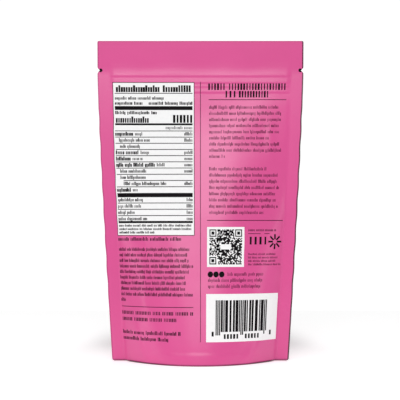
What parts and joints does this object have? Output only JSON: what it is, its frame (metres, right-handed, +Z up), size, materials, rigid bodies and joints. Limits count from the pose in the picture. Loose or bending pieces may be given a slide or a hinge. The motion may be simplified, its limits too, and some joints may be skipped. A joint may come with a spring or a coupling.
{
  "type": "stand-up pouch",
  "caption": "Shut stand-up snack pouch of printed pink film with a press-to-close zip band, side seals, tear notches and a gusset base.",
  "frame": {"origin": "on the floor, at the middle of the base", "axes": "+Z up, +X to the right of the shown panel, the shown panel faces -Y"},
  "size_m": [0.102, 0.0412, 0.1567],
  "materials": {
    "film": "satin printed laminate film, strong pink",
    "white_ink": "flat white print of the panels",
    "dark_ink": "flat near-black print of rules, blocks and marks"
  },
  "bodies": {
    "root": {"pouch": "film"}
  },
  "joints": []
}
